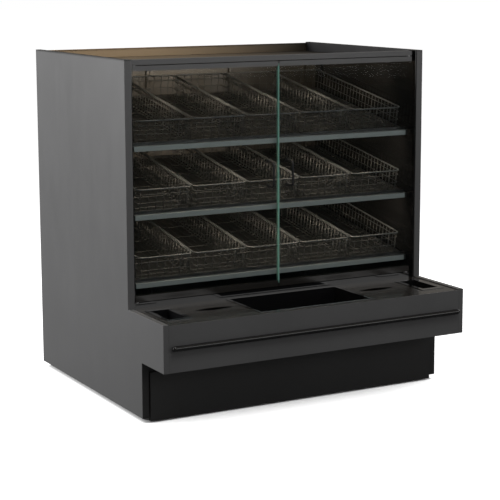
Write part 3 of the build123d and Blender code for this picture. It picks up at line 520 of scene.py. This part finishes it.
def finish_nodes():
    """Give each carried-over node its material."""
    for finish, names in NODE_FINISH.items():
        for name in names:
            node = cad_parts[name]
            node.data.materials.clear()
            node.data.materials.append(MATERIALS[finish])


def mesh_of(name, work, *finishes):
    """Turn a finished bmesh into a mesh with its materials."""
    data = bpy.data.meshes.new(name)
    work.to_mesh(data)
    work.free()
    for finish in finishes:
        data.materials.append(MATERIALS[finish])
    return data


def piece(name, mesh, body, node, place=Matrix()):
    """Put a mesh in the scene in a node's stead, riding on a body."""
    made = bpy.data.objects.new(name, mesh)
    bpy.context.scene.collection.objects.link(made)
    made.matrix_world = place
    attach(made, body)
    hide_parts(node)


def ring(centre, along, radius, aside):
    """Points of a circle around a path point."""
    across = along.cross(aside).normalized()
    other = across.cross(along).normalized()
    return [centre + radius * (math.cos(a) * across + math.sin(a) * other)
            for a in (2 * math.pi * k / WIRE_SIDES for k in range(WIRE_SIDES))]


def add_tube(mesh, points, radius, closed=False, aside=UP, finish=0):
    """Add a round tube along a path of points to a bmesh."""
    count = len(points)
    rings = []
    for i, point in enumerate(points):
        before = points[i - 1] if (closed or i > 0) else point
        after = points[(i + 1) % count] if (closed or i < count - 1) else point
        along = (after - before).normalized()
        side = aside if abs(along.dot(aside)) < NEARLY_ALONG else ALONG_X
        rings.append([mesh.verts.new(p) for p in ring(point, along, radius, side)])
    spans = count if closed else count - 1
    for i in range(spans):
        a, b = rings[i], rings[(i + 1) % count]
        for k in range(WIRE_SIDES):
            n = (k + 1) % WIRE_SIDES
            face = mesh.faces.new((a[k], a[n], b[n], b[k]))
            face.smooth = True
            face.material_index = finish
    if not closed:
        mesh.faces.new(list(reversed(rings[0])))
        mesh.faces.new(rings[-1])


def rounded(corners, radius, steps=BEND_STEPS, closed=False):
    """A path through corners with each turn rounded to a radius."""
    count = len(corners)
    points = []
    for i, corner in enumerate(corners):
        if not closed and i in (0, count - 1):
            points.append(corner)
            continue
        back = (corners[i - 1] - corner).normalized()
        on = (corners[(i + 1) % count] - corner).normalized()
        start, end = corner + back * radius, corner + on * radius
        middle = start + end - corner
        for step in range(steps + 1):
            a = math.pi / 2 * step / steps
            points.append(middle - on * radius * math.cos(a) - back * radius * math.sin(a))
    return points


def hoop(height, inset, radius):
    """Rounded rectangle around the basket at a height."""
    x = BASKET_W / 2 - inset
    y = (inset, BASKET_L - inset)
    corners = [Vector((-x, y[0], height)), Vector((x, y[0], height)),
               Vector((x, y[1], height)), Vector((-x, y[1], height))]
    return rounded(corners, radius, CORNER_STEPS, True)


def basket_mesh():
    """One welded basket, flat on its floor, front at y = 0: rim, hoops, long wires and cross wires."""
    mesh = bmesh.new()
    low = WIRE_LIFT
    wall_in = NET_HALF_T + WIRE_R
    add_tube(mesh, hoop(BASKET_H, NET_HALF_T, RIM_CORNER), RIM_R, True, finish=1)
    for share in HOOP_HEIGHTS:
        add_tube(mesh, hoop(BASKET_H * share, NET_HALF_T, RIM_CORNER), WIRE_R, True)
    add_tube(mesh, hoop(low + LOW_HOOP_UP, NET_HALF_T + LOW_HOOP_IN, LOW_HOOP_CORNER), WIRE_R, True)
    ends_y = (wall_in, BASKET_L - wall_in)
    for k in range(END_WIRES):
        x = (k - (END_WIRES - 1) / 2) * (BASKET_W - 2 * RIM_CORNER) / (END_WIRES - 1)
        ends = [Vector((x, ends_y[0], BASKET_H)), Vector((x, ends_y[0], low)),
                Vector((x, ends_y[1], low)), Vector((x, ends_y[1], BASKET_H))]
        add_tube(mesh, rounded(ends, WIRE_BEND), WIRE_R, aside=ALONG_X)
    side = BASKET_W / 2 - wall_in
    cross = low + 2 * WIRE_R
    for k in range(SIDE_WIRES):
        y = RIM_CORNER + k * (BASKET_L - 2 * RIM_CORNER) / (SIDE_WIRES - 1)
        if k % FLOOR_EVERY == 1:
            ends = [Vector((-side, y, BASKET_H)), Vector((-side, y, cross)),
                    Vector((side, y, cross)), Vector((side, y, BASKET_H))]
            add_tube(mesh, rounded(ends, WIRE_BEND), WIRE_R, aside=ALONG_Y)
            continue
        for hand in (-1, 1):
            ends = [Vector((hand * side, y, BASKET_H)), Vector((hand * side, y, low)),
                    Vector((hand * (side - 2 * WIRE_BEND), y, low))]
            add_tube(mesh, rounded(ends, WIRE_BEND), WIRE_R, aside=ALONG_Y)
    return mesh_of("basket_wires", mesh, "wire", "rim")


def build_baskets():
    """Stand a basket of round wires in the place of each flat net."""
    wires = basket_mesh()
    lean = Matrix.Rotation(TILT, 4, "X")
    for level in SHELF_LEVELS:
        for column in range(1, BASKET_COLUMNS + 1):
            node = f"basket_{level}_{column}"
            low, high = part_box(node)
            front = low.y + RIM_R - NET_HALF_T * math.cos(TILT) + BASKET_H * math.sin(TILT)
            place = Matrix.Translation(((low.x + high.x) / 2, front, low.z)) @ lean
            piece(f"wire_{node}", wires, "case", node, place)


def build_glass():
    """Door panes: clear faces and green polished meeting edges with a fine arris."""
    for hand in ("left", "right"):
        node = f"door_glass_{hand}"
        low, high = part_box(node)
        size = high - low
        mesh = bmesh.new()
        bmesh.ops.create_cube(mesh, size=1.0)
        for v in mesh.verts:
            v.co = Vector(low[i] + (v.co[i] + 0.5) * size[i] for i in range(3))
        bmesh.ops.bevel(mesh, geom=mesh.edges[:], offset=ARRIS, segments=2, affect="EDGES", profile=0.5)
        inner_x = high.x if hand == "left" else low.x
        for face in mesh.faces:
            meeting = abs(face.calc_center_median().x - inner_x) < EDGE_BAND
            face.material_index = 1 if meeting and abs(face.normal.y) < FACE_ON else 0
        data = mesh_of(f"pane_{hand}", mesh, "glass", f"edge_{hand}")
        piece(f"door_pane_{hand}", data, f"door_{hand}", node)


def build_camera():
    """The camera that sees the case as the photo does."""
    yaw, pitch, roll = (math.radians(a) for a in (CAMERA_YAW, CAMERA_PITCH, CAMERA_ROLL))
    forward = Vector((math.sin(yaw) * math.cos(pitch), math.cos(yaw) * math.cos(pitch), math.sin(pitch)))
    right = Vector((math.cos(yaw), -math.sin(yaw), 0))
    up = right.cross(forward)
    turned_right = right * math.cos(roll) + up * math.sin(roll)
    turned_up = up * math.cos(roll) - right * math.sin(roll)
    data = bpy.data.cameras.new("photo_camera")
    data.lens = CAMERA_LENS
    data.sensor_width = SENSOR
    data.shift_y = CAMERA_SHIFT_Y
    data.clip_end = CAMERA_REACH
    camera = bpy.data.objects.new("photo_camera", data)
    turned = Matrix((turned_right, turned_up, -forward)).transposed().to_4x4()
    camera.matrix_world = Matrix.Translation(CAMERA_AT) @ turned
    bpy.context.scene.collection.objects.link(camera)
    bpy.context.scene.camera = camera


def area_light(name, at, aim, width, height, power, colour=(1, 1, 1)):
    """A rectangle of light at a place, turned to its aim."""
    data = bpy.data.lights.new(name, "AREA")
    data.shape = "RECTANGLE"
    data.size = width
    data.size_y = height
    data.energy = power
    data.color = colour
    lamp = bpy.data.objects.new(name, data)
    lamp.location = at
    lamp.rotation_euler = (Vector(aim) - Vector(at)).to_track_quat("-Z", "Y").to_euler()
    bpy.context.scene.collection.objects.link(lamp)


def build_lights():
    """Soft studio light, mostly from the left, and the case's own warm lamps."""
    for light in STUDIO_LIGHTS:
        area_light(*light)
    for level, (y, z) in enumerate(zip(LAMP_Y, LAMP_Z)):
        at = Vector((0, y, z))
        area_light(f"lamp_glow_{level}", at, at + LAMP_AIM, LAMP_LENGTH, LAMP_WIDTH, LAMP_POWER, LAMP_WARM)


def seen(tree, path):
    """1 for what the camera sees, straight or through glass."""
    return either(tree, path.outputs["Is Camera Ray"], path.outputs["Is Transmission Ray"])


def build_world():
    """Pale grey light all round that shows white to the camera and through glass."""
    world = bpy.data.worlds.new("studio")
    bpy.context.scene.world = world
    world.use_nodes = True
    tree = world.node_tree
    plain = tree.nodes["Background"]
    fix(plain, {"Color": WHITE, "Strength": AMBIENT})
    mirrored = add_node(tree, "ShaderNodeBackground", Color=MIRRORED_WARM, Strength=MIRRORED)
    shown = add_node(tree, "ShaderNodeBackground", Color=WHITE, Strength=1.0)
    path = add_node(tree, "ShaderNodeLightPath")
    soft = blended(tree, path.outputs["Is Glossy Ray"], plain.outputs["Background"],
                   mirrored.outputs["Background"])
    whole = blended(tree, seen(tree, path), soft, shown.outputs["Background"])
    feed(tree, tree.nodes["World Output"], {"Surface": whole})


def under_case(tree):
    """1 on the floor inside the base, which is dark, and 0 beyond it."""
    low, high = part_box("side_panel_left")[0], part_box("side_panel_right")[1]
    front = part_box("kick_plate")[0].y
    edges = (("X", low.x, SHADE_EDGE), ("X", high.x, -SHADE_EDGE),
             ("Y", front, SHADE_EDGE), ("Y", high.y, -SHADE_EDGE))
    left, right, near, far = (fade(tree, axis, edge, edge + inward) for axis, edge, inward in edges)
    return both(tree, both(tree, left, right), both(tree, near, far))


def floor_glow(tree):
    """Emission that shows the open floor white and leaves it dark where little sky reaches it."""
    sky = add_node(tree, "ShaderNodeAmbientOcclusion", Distance=SKY_REACH, samples=SKY_SAMPLES).outputs["AO"]
    lit = add_node(tree, "ShaderNodeMapRange")
    fix(lit, {"From Min": SKY_SHARES[0], "From Max": SKY_SHARES[1], "To Max": FLOOR_GLOW})
    feed(tree, lit, {"Value": sky})
    glow = add_node(tree, "ShaderNodeEmission")
    strength = mixed(tree, under_case(tree), lit.outputs["Result"], spread(tree, sky, 0, DARK_GLOW))
    feed(tree, glow, {"Strength": strength})
    return glow.outputs["Emission"]


def build_floor():
    """Pale floor that keeps the case's shadow and shows white beyond it."""
    made, tree, shader = nodes_of("studio_floor")
    fix(shader, {"Base Color": FLOOR_GREY, "Roughness": 0.9, "Specular IOR Level": 0.0})
    shown = add_node(tree, "ShaderNodeBsdfDiffuse", Color=FLOOR_SHOWN)
    bright = add_node(tree, "ShaderNodeAddShader")
    feed(tree, bright, {0: shown.outputs["BSDF"], 1: floor_glow(tree)})
    path = add_node(tree, "ShaderNodeLightPath")
    surface(tree, blended(tree, seen(tree, path), shader.outputs["BSDF"], bright.outputs["Shader"]))
    mesh = bmesh.new()
    bmesh.ops.create_grid(mesh, x_segments=1, y_segments=1, size=FLOOR_HALF)
    data = mesh_of("studio_floor", mesh)
    data.materials.append(made)
    floor = bpy.data.objects.new("studio_floor", data)
    bpy.context.scene.collection.objects.link(floor)


build_camera()
build_world()
build_lights()
build_floor()
finish_nodes()
build_baskets()
build_glass()

bpy.context.scene.view_settings.view_transform = "Standard"
